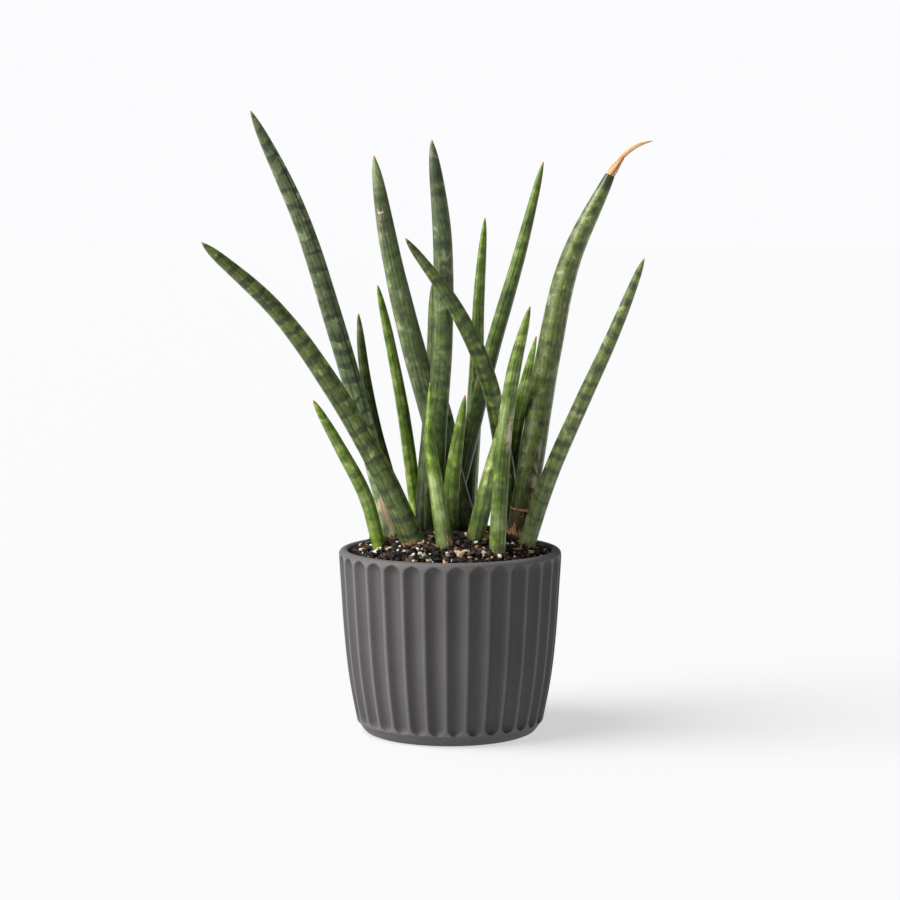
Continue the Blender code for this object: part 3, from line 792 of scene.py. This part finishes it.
def leaf_skin(name, colours, bands):
    """The skin of one leaf, from the dark of its bands, its flesh and its pale places."""
    deep, flesh, pale = colours
    material, tree, shader = start_material(name)
    straight = add_node(tree, "Attribute", out="Vector", attribute_name="straight")
    fresh, tone, scarred, browned = (
        add_node(tree, "Attribute", out="Fac", attribute_name=kind)
        for kind in ("fresh", "tone", "scar", "browned")
    )
    noises = []
    for per_metre, detail, roughness in SKIN_NOISES:
        stretched = add_node(tree, "VectorMath", {0: straight, 1: per_metre}, operation="MULTIPLY")
        settings = {"Vector": stretched, "Scale": 1.0, "Detail": detail, "Roughness": roughness}
        noises.append(add_node(tree, "TexNoise", settings))
    streaks, wobble, flecks, blotch, drift = noises
    wobbled = add_node(tree, "Math", {0: wobble, 1: 8 * MM}, operation="MULTIPLY")
    shift = add_node(tree, "Math", {0: streaks, 1: 1.8 * MM, 2: wobbled}, operation="MULTIPLY_ADD")
    upward = add_node(tree, "CombineXYZ", {"Z": shift})
    shifted = add_node(tree, "VectorMath", {0: straight, 1: upward}, operation="ADD")
    # Cells of paler and darker green 8 mm wide, older and greyer or young and fresh
    scaled = add_node(tree, "VectorMath", {0: shifted, 1: (120, 120, 120)}, operation="MULTIPLY")
    cells = add_node(tree, "TexNoise", {"Vector": scaled, "Scale": 1.0, "Detail": 3.0, "Roughness": 0.6})
    old, young = (
        add_node(tree, "ValToRGB", {"Fac": cells}, stops=stops)
        for stops in (
            [(0.3, deep), (0.46, flesh), (0.56, flesh), (0.72, pale)],
            [(0.3, "#3e540c"), (0.48, "#64801c"), (0.72, "#a0ae62")],
        )
    )
    blotched = add_node(tree, "MapRange", {"Value": blotch}, span=(0.35, 0.65, 0.6, 1.0))
    youth = add_node(tree, "Math", {0: fresh, 1: blotched}, operation="MULTIPLY")
    # Narrow dark bands, broken where a blotch is weak
    height_up = add_node(tree, "SeparateXYZ", {"Vector": shifted}, out="Z")
    drifted = add_node(tree, "Math", {0: drift, 1: 9.0}, operation="MULTIPLY")
    turns = 2 * math.pi / (BAND_GAP * MM)
    phase = add_node(tree, "Math", {0: height_up, 1: turns, 2: drifted}, operation="MULTIPLY_ADD")
    waves = add_node(tree, "Math", {0: phase}, operation="SINE")
    broken = add_node(tree, "Math", {0: blotch, 1: 2.8, 2: waves}, operation="MULTIPLY_ADD")
    banded = add_node(tree, "MapRange", {"Value": broken}, span=(1.6, 2.2, 0.0, bands))
    skin = old
    for amount, colour in ((youth, young), (banded, to_linear(deep))):
        skin = add_node(tree, "Mix", {0: amount, 6: skin, 7: colour}, out=2, data_type="RGBA")
    # The gloss falls with the lightness, so parts painted dark as painted shade shine less too
    gloss = add_node(tree, "MapRange", {"Value": tone}, span=(0.1, 0.9, 0.1, 0.5))
    # The flecks, the streaks and the blotches change the tone of each place
    for source, low, high in ((flecks, 0.76, 1.24), (streaks, 0.94, 1.06), (blotch, 0.85, 1.15)):
        ranged = add_node(tree, "MapRange", {"Value": source}, span=(0.3, 0.7, low, high))
        tone = add_node(tree, "Math", {0: tone, 1: ranged}, operation="MULTIPLY")
    skin = add_node(tree, "VectorMath", {0: skin, "Scale": tone}, operation="SCALE")
    # Wax, the furrows' painted shade, the marks of the leaf's life and the dry point lie over the green in
    # turn
    waxy = add_node(tree, "MapRange", {"Value": flecks}, span=(0.56, 0.72, 0.0, 0.3))
    ragged = add_node(tree, "MapRange", {"Value": streaks}, span=(0.35, 0.65, 0.6, 1.15))
    flecked = add_node(tree, "MapRange", {"Value": flecks}, span=(0.3, 0.7, 0.4, 1.0))
    patchy = add_node(tree, "MapRange", {"Value": cells}, span=(0.44, 0.52, 0.2, 1.2))
    layers = [(waxy, to_linear(pale))]
    # The furrow colour is painted shade in the grooves; the other marks are the leaf's own colour
    for kind, edge, code in (
        ("furrow", ragged, "#1a240e"), ("dark", ragged, "#26331a"), ("pale", flecked, "#aab87c"),
        ("silver", patchy, "#c0b69a"), ("brown", ragged, "#55422a"),
    ):
        noted = add_node(tree, "Attribute", out="Fac", attribute_name=kind)
        amount = add_node(tree, "Math", {0: noted, 1: edge}, operation="MULTIPLY", use_clamp=True)
        layers.append((amount, to_linear(code)))
    lowered = add_node(tree, "Math", {0: scarred, 1: 0.45}, operation="SUBTRACT")
    torn = add_node(tree, "Math", {0: flecks, 1: 0.9, 2: lowered}, operation="MULTIPLY_ADD")
    scar = add_node(tree, "MapRange", {"Value": torn}, span=(0.35, 0.55, 0.0, 1.0))
    dry_stops = [(0.35, "#bb9b78"), (0.5, "#d9bf9b"), (0.65, "#ecdcc0")]
    layers.append((scar, add_node(tree, "ValToRGB", {"Fac": streaks}, stops=dry_stops)))
    layers.append((browned, to_linear("#ab7434")))
    for amount, colour in layers:
        skin = add_node(tree, "Mix", {0: amount, 6: skin, 7: colour}, out=2, data_type="RGBA")
    # Scars are dry and dull, and the flecks of wax break up the satin
    dull = add_node(tree, "MapRange", {"Value": scar}, span=(0.0, 1.0, 0.24, 0.7))
    satin = add_node(tree, "Math", {0: flecks, 1: 0.2, 2: dull}, operation="MULTIPLY_ADD")
    set_inputs(tree, shader, {
        "Base Color": skin, "Roughness": satin, "IOR": 1.45, "Specular IOR Level": gloss,
        "Sheen Weight": 0.05, "Sheen Roughness": 0.4,
    })
    return material


for number, (name, plan) in enumerate(LEAVES.items()):
    leaf = grow_leaf(name, number)
    skin = leaf_skin(name + "_skin", plan.skin, plan.bands)
    finish(leaf, skin, f"leaf_{plan.slot}_green", name)
print(len(LEAVES), "leaves grown, the last with", len(leaf.data.polygons), "faces")

# %% [markdown]
# ## The dried tip
#
# The end of the thick leaf has died back. It has shrunk to a thin curl of pale tan, papery fibre. It is
# grown like a leaf, from a rod, but five deep grooves run along it and turn with it, as a drying blade
# twists, and a crease shows where it has folded over. The grooves and the crease are also painted
# darker, as painted shade. A little light soaks into the paper.

# %% Grow the dried tip
# Each stop is a place on the curl's middle line and its thickness there
DRIED_TIP = [
    (106.4, 10.1, 373.2, 6.3), (107.4, 10.2, 374.8, 6.2), (110.0, 10.7, 378.6, 5.6),
    (113.0, 11.1, 383.0, 4.3), (116.4, 11.5, 387.4, 3.3), (120.8, 12.0, 391.2, 3.3),
    (126.4, 12.5, 394.3, 2.6), (131.5, 13.0, 396.0, 1.6), (135.4, 13.5, 396.9, 0.6),
]
CURL_RINGS = 90
CURL_LENGTH = 42
CURL_TWIST = 0.9
CURL_GROOVES = 5
GROOVE_DEPTH = 0.16
CREASE_AT = 0.45

dried_tip = straight_rod("dried_tip_curl", CURL_RINGS)
rod = points_of(dried_tip)
on_rod = np.arctan2(rod[:, 1], rod[:, 0])
share = rod[:, 2]
turn = on_rod - CURL_TWIST * share
stops = np.array(DRIED_TIP)
middle, side, front = frame_along(stops[:, :3], share)
radius = smooth_between(np.linspace(0, 1, len(stops)), stops[:, 3], share) / 2
groove = np.clip(np.cos(CURL_GROOVES * on_rod - 0.6), 0, 1) ** 5
groove *= smooth_between((0, 0.06, 0.2, 0.6, 1), (0, 0.3, 1, 0.7, 0.2), share)
# Half way up, the curl has folded over, and a crease shows there
crease = np.exp(-(((share - CREASE_AT - 0.02 * np.cos(turn)) / 0.016) ** 2))
groove = np.maximum(groove, crease * np.clip(0.4 + np.cos(turn), 0, 1))
off = radius * np.hypot(rod[:, 0], rod[:, 1]) * (1.03 - GROOVE_DEPTH * groove)
place_points(dried_tip, around_line(middle, side, front, turn, off) * MM)
straight = np.stack([off * np.cos(on_rod), off * np.sin(on_rod), share * CURL_LENGTH], 1)
note_on_points(dried_tip, "straight", straight * MM)
note_on_points(dried_tip, "share", share)
note_on_points(dried_tip, "groove", groove)
print("the dried tip is", len(dried_tip.data.polygons), "faces")

# %% Dead leaf fibre material
dead_fibre, tree, shader = start_material("dead_leaf_fibre")
straight = add_node(tree, "Attribute", out="Vector", attribute_name="straight")
share_note, grooved = (
    add_node(tree, "Attribute", out="Fac", attribute_name=kind) for kind in ("share", "groove")
)
# Fibres 0.9 mm wide and 28 mm long
stretched = add_node(tree, "VectorMath", {0: straight, 1: (1100, 1100, 36)}, operation="MULTIPLY")
fibres = add_node(tree, "TexNoise", {"Vector": stretched, "Scale": 1.0, "Detail": 3.0, "Roughness": 0.6})
papery = add_node(
    tree, "ValToRGB", {"Fac": fibres},
    stops=[(0.34, "#8f6743"), (0.45, "#cfaa80"), (0.56, "#dcb98f"), (0.7, "#e2ccb0")],
)
# Lighter and darker along the curl, with painted shade at the crease half way up
tint_along_with_crease_shade = add_node(
    tree, "ValToRGB", {"Fac": share_note},
    stops=[
        (0.0, "#fff6e8"), (0.1, "#f6e2c8"), (0.35, "#fae8d2"), (0.45, "#eed8bc"), (0.55, "#fffaf0"),
        (1.0, "#fff0dc"),
    ],
)
tip_colour_and_shade = add_node(tree, "Mix", {0: 0.9, 6: papery, 7: tint_along_with_crease_shade}, out=2, data_type="RGBA", blend_type="MULTIPLY")
# The grooves and the crease are painted dark brown, as painted shade
shaded = add_node(tree, "Math", {0: grooved, 1: 0.85}, operation="MULTIPLY")
tip_colour_and_shade = add_node(tree, "Mix", {0: shaded, 6: tip_colour_and_shade, 7: to_linear("#74502f")}, out=2, data_type="RGBA")
bump = add_node(tree, "Bump", {"Strength": 0.03, "Distance": 0.3 * MM, "Height": fibres})
# Light soaks about a millimetre into the dry paper
set_inputs(tree, shader, {
    "Base Color": tip_colour_and_shade, "Normal": bump, "Roughness": 0.6, "Subsurface Weight": 0.3,
    "Subsurface Radius": (1.0, 0.7, 0.4), "Subsurface Scale": 1.0 * MM,
})
finish(dried_tip, dead_fibre, "dried_leaf", "dried_tip")
print("dried tip done")

# %% [markdown]
# ## Old sheaths
#
# A young shoot breaks out of a papery sleeve, and the sleeve dries to a torn brown ring round the foot.
# It could be painted on, but it stands off the leaf and has a ragged edge, so each one is a thin grid
# wrapped round the leaf, torn along its upper edge by noise, and given a paper's thickness.

# %% Wrap six torn sleeves round five feet
# Leaf, lowest and highest edge in mm above the mix, start and end in degrees round the leaf
SHEATHS = [
    ("leaf_thick_right", 18.4, 20.6, 5, 215), ("leaf_thick_right", -2.0, 7.0, 10, 200),
    ("leaf_tall_left", -2.0, 3.5, 30, 215), ("leaf_small_front", -2.0, 6.0, -10, 70),
    ("leaf_far_left", -2.0, 3.5, 60, 220), ("leaf_right", -2.0, 3.0, -10, 120),
]
PAPER_THICKNESS = 0.25


def wrap_sheath(number, name, low, high, start, stop):
    deselect_all()
    bpy.ops.mesh.primitive_grid_add(x_subdivisions=60, y_subdivisions=6, size=1)
    sleeve = named(f"dry_sheath_{number + 1}")
    along, up = (points_of(sleeve)[:, :2] + 0.5).T
    turn = np.radians(start + (stop - start) * along)
    torn = np.array([
        noise.noise(Vector((3 * math.cos(a), 3 * math.sin(a), number)))
        + 0.5 * noise.noise(Vector((11 * a, number, 5)))
        for a in turn
    ])
    ends = np.sqrt(np.clip(np.minimum(along, 1 - along) * 8, 0.05, 1))
    height = low + (high - low) * up * (0.8 + 0.8 * torn) * ends
    line = LEAVES[name].line
    share = foot_place(name)[3] + height / line_length(line)
    middle, side, front = frame_along(line, share)
    off = leaf_radius(name, share) * 1.015 + 0.1 + 0.5 * up**2 * np.abs(torn)
    place_points(sleeve, around_line(middle, side, front, turn, off) * MM)
    thick = sleeve.modifiers.new("paper", "SOLIDIFY")
    thick.thickness, thick.offset = PAPER_THICKNESS * MM, 0.0
    bpy.ops.object.modifier_apply(modifier=thick.name)
    return sleeve


papery_sheath, tree, shader = start_material("papery_sheath")
where = add_node(tree, "TexCoord", out="Object")
# Fibres 1 mm apart run up the sleeve
stretched = add_node(tree, "VectorMath", {0: where, 1: (900, 900, 160)}, operation="MULTIPLY")
fibres = add_node(tree, "TexNoise", {"Vector": stretched, "Scale": 1.0, "Detail": 3.0, "Roughness": 0.65})
paper_brown = add_node(
    tree, "ValToRGB", {"Fac": fibres}, stops=[(0.35, "#4a3423"), (0.5, "#8a6a4a"), (0.68, "#c9a783")]
)
bump = add_node(tree, "Bump", {"Strength": 0.5, "Distance": 0.4 * MM, "Height": fibres})
set_inputs(tree, shader, {"Base Color": paper_brown, "Normal": bump, "Roughness": 0.8})
for number, row in enumerate(SHEATHS):
    finish(wrap_sheath(number, *row), papery_sheath, "dried_leaf")
print(len(SHEATHS), "old sheaths")

# %% [markdown]
# ## Lifting the bed of mix
#
# The bed's rings go up to the heap's height. Two scales of noise give it hollows and crumbs, so that
# the dark between the chips is partly real depth; the bed is also painted nearly black, as painted
# shade between the chips. The rim's lower points go down inside the wall.

# %% Lift the bed
places = points_of(bed) / MM
rim = np.arange(len(places)) < BED_SIDES
heights = mix_height(places[:, 0], places[:, 1])
crumbs = np.array([
    1.0 * noise.noise(Vector((x, y, 0)) / 4.5) + 0.8 * noise.noise(Vector((x, y, 9)) / 1.7)
    for x, y, _ in places
])
inner = np.hypot(places[:, 0], places[:, 1]) < MIX_EDGE_RADIUS - 0.5
places[:, 2] = heights + np.where(inner, crumbs, 0) - 0.8
places[rim, :2] *= BED_FOOT_RADIUS / MIX_EDGE_RADIUS
places[rim, 2] = BED_FOOT_HEIGHT
place_points(bed, places * MM)
print("the bed stands", round(float(places[:, 2].max()), 1), "mm high")

# %% [markdown]
# ## Bark, crumbs and perlite
#
# The mix is composted bark in chips of 1.6 to 5.6 mm, with splinters and finer crumbs between, grains
# of white perlite, which is glass puffed up like popcorn, a few small pebbles, and dry straws from old
# sheaths. One of each kind is modelled, and many copies are laid on the heap, each turned, sized and
# knocked about in its own way. Some chips are banked up against the feet of the leaves.
# Particles would do the same, but the pieces have to be real meshes that a part can keep.

# %% Model one of each kind
def modelled(name):
    """The points and faces of a finished small model, which is then taken away."""
    bpy.ops.object.mode_set(mode="OBJECT")
    model = named(name)
    shape = points_of(model), [list(face.vertices) for face in model.data.polygons]
    bpy.data.objects.remove(model)
    return shape


deselect_all()
bpy.ops.mesh.primitive_cube_add(size=1)
bpy.ops.object.mode_set(mode="EDIT")
bpy.ops.mesh.bevel(offset=0.17, segments=1, affect="EDGES")
bpy.ops.transform.resize(value=(1.0, 0.75, 0.62), center_override=(0, 0, 0))
chip = modelled("chip")
splinter = chip[0] * (1.5, 0.5, 0.6), chip[1]
bpy.ops.mesh.primitive_ico_sphere_add(subdivisions=1, radius=0.5)
bpy.ops.object.mode_set(mode="EDIT")
bpy.ops.transform.resize(value=(1.0, 0.8, 0.7), center_override=(0, 0, 0))
crumb = modelled("crumb")
bpy.ops.mesh.primitive_ico_sphere_add(subdivisions=1, radius=0.5)
bpy.ops.object.mode_set(mode="EDIT")
bpy.ops.transform.vertex_random(offset=0.12, seed=3)
grain_shape = modelled("grain")
bpy.ops.mesh.primitive_ico_sphere_add(subdivisions=2, radius=0.5)
bpy.ops.object.mode_set(mode="EDIT")
bpy.ops.transform.resize(value=(1.0, 0.75, 0.6), center_override=(0, 0, 0))
pebble = modelled("pebble")
bpy.ops.mesh.primitive_cylinder_add(vertices=5, radius=0.022, depth=1)
bpy.ops.object.mode_set(mode="EDIT")
cut_into_rings(6)
straw = modelled("straw")
# The straw lies along X and bends to one side and down
straw[0][:] = straw[0][:, [2, 0, 1]]
straw[0][:, 1] += 0.5 * straw[0][:, 0] ** 2
straw[0][:, 2] -= 0.3 * straw[0][:, 0] ** 2 - 0.03
models = (chip, splinter, crumb, grain_shape, pebble, straw)
print("faces of each kind, from chip to straw:", [len(model[1]) for model in models])

# %% Copies and their places
HEAP_REACH = 66.9
dice = np.random.default_rng(12)
feet = [foot_place(name) for name in LEAVES]


def free_place(size):
    """A random place on the heap that no leaf stands on."""
    while True:
        angle = dice.uniform(0, 2 * math.pi)
        distance = (HEAP_REACH - 0.45 * size) * math.sqrt(dice.random())
        x, y = distance * math.cos(angle), distance * math.sin(angle)
        if all(math.hypot(x - fx, y - fy) > 0.47 * across + 0.2 * size for fx, fy, across, _ in feet):
            return x, y


def lay(name, shape, places, rough):
    """One mesh of copies: each place is (x, y, height above the heap, size, shade)."""
    points, faces = shape
    all_points, all_faces, shades = [], [], []
    for x, y, above, size, shade in places:
        knocked = points * (1 + dice.uniform(-rough, rough, (len(points), 1))) * dice.uniform(0.65, 1.25, 3)
        tilt = dice.uniform((-0.5, -0.5, 0), (0.5, 0.5, 6.28))
        about_x, about_y, about_z = (Matrix.Rotation(a, 3, axis) for a, axis in zip(tilt, "XYZ"))
        turned = knocked @ np.array(about_z @ about_x @ about_y).T
        first = len(points) * len(all_points)
        all_faces += [[first + i for i in face] for face in faces]
        all_points.append(turned * size + (x, y, mix_height(x, y) + above))
        shades += [shade] * len(points)
    mesh = bpy.data.meshes.new(name)
    mesh.from_pydata((np.vstack(all_points) * MM).tolist(), [], all_faces)
    piece = bpy.data.objects.new(name, mesh)
    bpy.context.scene.collection.objects.link(piece)
    note_on_points(piece, "shade", shades)
    return piece


def scattered(count, small, large, sunk, lightest=1.0):
    """Random places for copies of these sizes in mm, with more small ones than large."""
    places = []
    for _ in range(count):
        size = small + (large - small) * dice.random() ** 1.7
        x, y = free_place(size)
        shade = lightest * dice.random() ** 2.0
        places.append((x, y, sunk * size + dice.uniform(-0.3, 0.5), size, shade))
    return places


print(len(feet), "feet to keep clear")

# %% Lay bark on the heap
# Chips are banked up against the feet, but not where a foot stands close to the wall
banked = [
    (
        fx + far * math.cos(angle), fy + far * math.sin(angle), dice.uniform(0.4, 1.7),
        dice.uniform(2, 4.2), dice.random() ** 2,
    )
    for fx, fy, across, _ in feet
    for angle in dice.uniform(0, 2 * math.pi, 9)
    for far in [0.5 * across + dice.uniform(0.4, 1.5)]
    if math.hypot(fx, fy) < 60
]
bark = lay("bark_chips", chip, scattered(1700, 1.6, 5.6, 0.12) + banked, 0.24)
splinters = lay("bark_splinters", splinter, scattered(500, 1.8, 5.0, 0.3, 0.8), 0.2)
crumbs_piece = lay("bark_crumbs", crumb, scattered(2000, 0.8, 2.0, 0.15), 0.25)
print(len(banked), "chips are banked against the feet")

# %% Lay perlite, pebbles and straws
# What the picture shows one by one: pixels right and down, then size in mm and shade
WHITE_GRAINS = [
    (*BIG_GRAIN_SEEN, 3.4), (381, 551, 2.2), (363, 555, 1.6), (398, 552, 1.8), (404.5, 554, 2.0),
    (406.5, 559.5, 1.8), (418, 551.5, 2.6), (422, 550.5, 1.8), (420.4, 555.7, 2.2), (430.6, 540, 1.6),
    (447.4, 555.5, 2.4), (484, 554.5, 2.2), (482.5, 558.5, 1.8), (500, 558.5, 3.0), (452, 562, 1.8),
    (462, 562, 1.8), (513, 545.5, 2.2),
]
PEBBLES = [
    (462, 557, 5.6, 0.1), (390, 550, 3.4, 0.5), (406, 546, 3.2, 0.9), (492, 560, 3.6, 0.4),
    (470, 560, 3.4, 0.7),
]
STRAWS = [(456, 541), (459, 544), (453, 546), (500, 549), (536, 547)]
perlite_places = [
    (*on_mix(right, down), 0.55 * size, 1.35 * size, 1.0) for right, down, size in WHITE_GRAINS
]
perlite_places += scattered(110, 1.0, 3.0, 0.3)
perlite = lay("perlite_grains", grain_shape, perlite_places, 0.25)
pebble_places = scattered(26, 1.8, 4.2, 0.3)
pebble_places += [(*on_mix(right, down), 0.4 * size, size, shade) for right, down, size, shade in PEBBLES]
pebbles = lay("mix_pebbles", pebble, pebble_places, 0.05)
straw_places = scattered(70, 5, 12, 0.06)
straw_places += [(*on_mix(right, down), 1.5, 8, 0.9) for right, down in STRAWS]
# A few hairs of fibre stand off the torn ring on the thick leaf, 20 mm above the mix
for turn_round in dice.uniform(0.3, 2.9, 12):
    x, y = 50.5 + 9.3 * math.cos(turn_round), -9.3 * math.sin(turn_round) - 1.5
    straw_places.append((x, y, dice.uniform(18, 22), dice.uniform(4, 8), 0.8))
straws = lay("sheath_straws", straw, straw_places, 0.0)
laid = (bark, splinters, crumbs_piece, perlite, pebbles, straws)
print("laid:", [(piece.name, len(piece.data.polygons)) for piece in laid])

# %% [markdown]
# ## Finishes of the mix
#
# Composted bark is dead wood that has lain wet for months. Most of it is nearly black, and the few
# freshly broken chips are red-brown or orange. It is dull, with a slight damp gloss on the flat faces.
# Perlite is foamed glass, white and matte, with a little soil rubbed on it. The pebbles are worn
# smooth, in greys and browns, and the straws are dull and tan.

# %% Bark material
def speckled(name, per_metre, detail, share, stops, bump, looks, shaded=True):
    """A finish whose fine noise, added to the shade of each copy, picks its colour."""
    material, tree, shader = start_material(name)
    where = add_node(tree, "TexCoord", out="Object")
    speckle = add_node(tree, "TexNoise", {"Vector": where, "Scale": per_metre, "Detail": detail})
    shade = add_node(tree, "Attribute", out="Fac", attribute_name="shade") if shaded else 0.0
    varied = add_node(tree, "Math", {0: speckle, 1: share, 2: shade}, operation="MULTIPLY_ADD")
    colour = add_node(tree, "ValToRGB", {"Fac": varied}, stops=stops)
    set_inputs(tree, shader, {"Base Color": colour, **looks})
    if bump:
        raised = add_node(tree, "Bump", {"Strength": bump, "Distance": 0.4 * MM, "Height": speckle})
        set_inputs(tree, shader, {"Normal": raised})
    return material


# Grain lines 0.7 mm apart
composted_bark = speckled(
    "composted_bark", 1500, 3.0, 0.35,
    [
        (0.1, "#080604"), (0.42, "#120d0a"), (0.66, "#281c15"), (0.84, "#4b3529"), (0.94, "#7c5643"),
        (1.0, "#b89f80"),
    ],
    0.6, {"Roughness": 0.6, "Specular IOR Level": 0.25},
)
finish(bed, composted_bark, "potting_mix", "soil")
# A shade of 0 gives the bed the darkest bark colour, nearly black: partly wet bark, partly painted shade
# between the chips
note_on_points(bed, "shade", np.zeros(len(bed.data.vertices)))
for piece in (bark, splinters, crumbs_piece):
    finish(piece, composted_bark, "potting_mix", smooth=False)
print("bark done")

# %% Perlite, pebble and straw materials
# Pores 0.6 mm wide
foamed_glass = speckled(
    "foamed_glass_perlite", 1800, 2.0, 1.0, [(0.3, "#b9ada0"), (0.5, "#e4dfd8"), (0.7, "#f6f3ee")],
    0.5, {"Roughness": 0.85}, shaded=False,
)
finish(perlite, foamed_glass, "potting_mix", smooth=False)
# Veins 1.4 mm apart
river_pebble = speckled(
    "river_pebble", 700, 2.0, 0.4,
    [(0.2, "#8b917a"), (0.5, "#9a7d68"), (0.75, "#b59d7f"), (1.0, "#8c5f49")], 0.0, {"Roughness": 0.6},
)
finish(pebbles, river_pebble, "potting_mix")
# Fibres 1.1 mm apart
dry_straw = speckled(
    "dry_straw", 900, 2.0, 0.5, [(0.2, "#3d2b1d"), (0.6, "#7a5a3a"), (1.0, "#a07e51")], 0.0,
    {"Roughness": 0.7},
)
finish(straws, dry_straw, "potting_mix")
print("perlite, pebbles and straws done")

# %% [markdown]
# ## Floor and light
#
# The floor is a plain pale sheet, which glows a little and so keeps the shadow on it light. The light
# is two very large soft windows up to the left: a strong high one, and a weak low one that lays the
# satin light on the upright leaves. A pale room all round fills the shadows, most from the left, least
# from the front, and some from the right. It looks white to the camera, so the plant stands against
# plain paper.

# %% Floor
deselect_all()
bpy.ops.mesh.primitive_circle_add(vertices=96, radius=14, fill_type="NGON")
floor = named("paper_floor")
paper, tree, shader = start_material("matte_white_paper")
set_inputs(tree, shader, {
    "Base Color": to_linear("#7a7a7c"), "Roughness": 0.9,
    "Emission Color": to_linear("#ffffff"), "Emission Strength": 0.582,
})
floor.data.materials.append(paper)
print("floor", floor.dimensions[:2])

# %% Light
# Each window: degrees down from overhead, degrees round to the left, strength and how wide it looks
for overhead, left, strength, width in ((36, 75, 5.1, 42), (70, 72, 1.9, 44)):
    bpy.ops.object.light_add(type="SUN", rotation=(math.radians(overhead), 0, math.radians(-left)))
    window = bpy.context.object.data
    window.energy, window.angle = strength, math.radians(width)
world = bpy.data.worlds.new("white_room")
bpy.context.scene.world = world
world.use_nodes = True
tree = world.node_tree
room = tree.nodes["Background"]
direction = add_node(tree, "TexCoord", out="Generated")
sides = add_node(tree, "SeparateXYZ", {"Vector": direction}, out="X")
across = add_node(tree, "MapRange", {"Value": sides}, span=(-1.0, 1.0, 0.0, 1.0))
room_stops = [(0.0, "#b2b2b3"), (0.55, "#656567"), (1.0, "#a9a9ab")]
fill = add_node(tree, "ValToRGB", {"Fac": across}, stops=room_stops)
seen = add_node(tree, "LightPath", out="Is Camera Ray")
level = add_node(tree, "Mix", {0: seen, 2: fill, 3: 0.985}, data_type="FLOAT")
set_inputs(tree, room, {"Color": to_linear("#fdfdff"), "Strength": level})
bpy.context.scene.view_settings.view_transform = "Standard"
print("two windows and a white room")
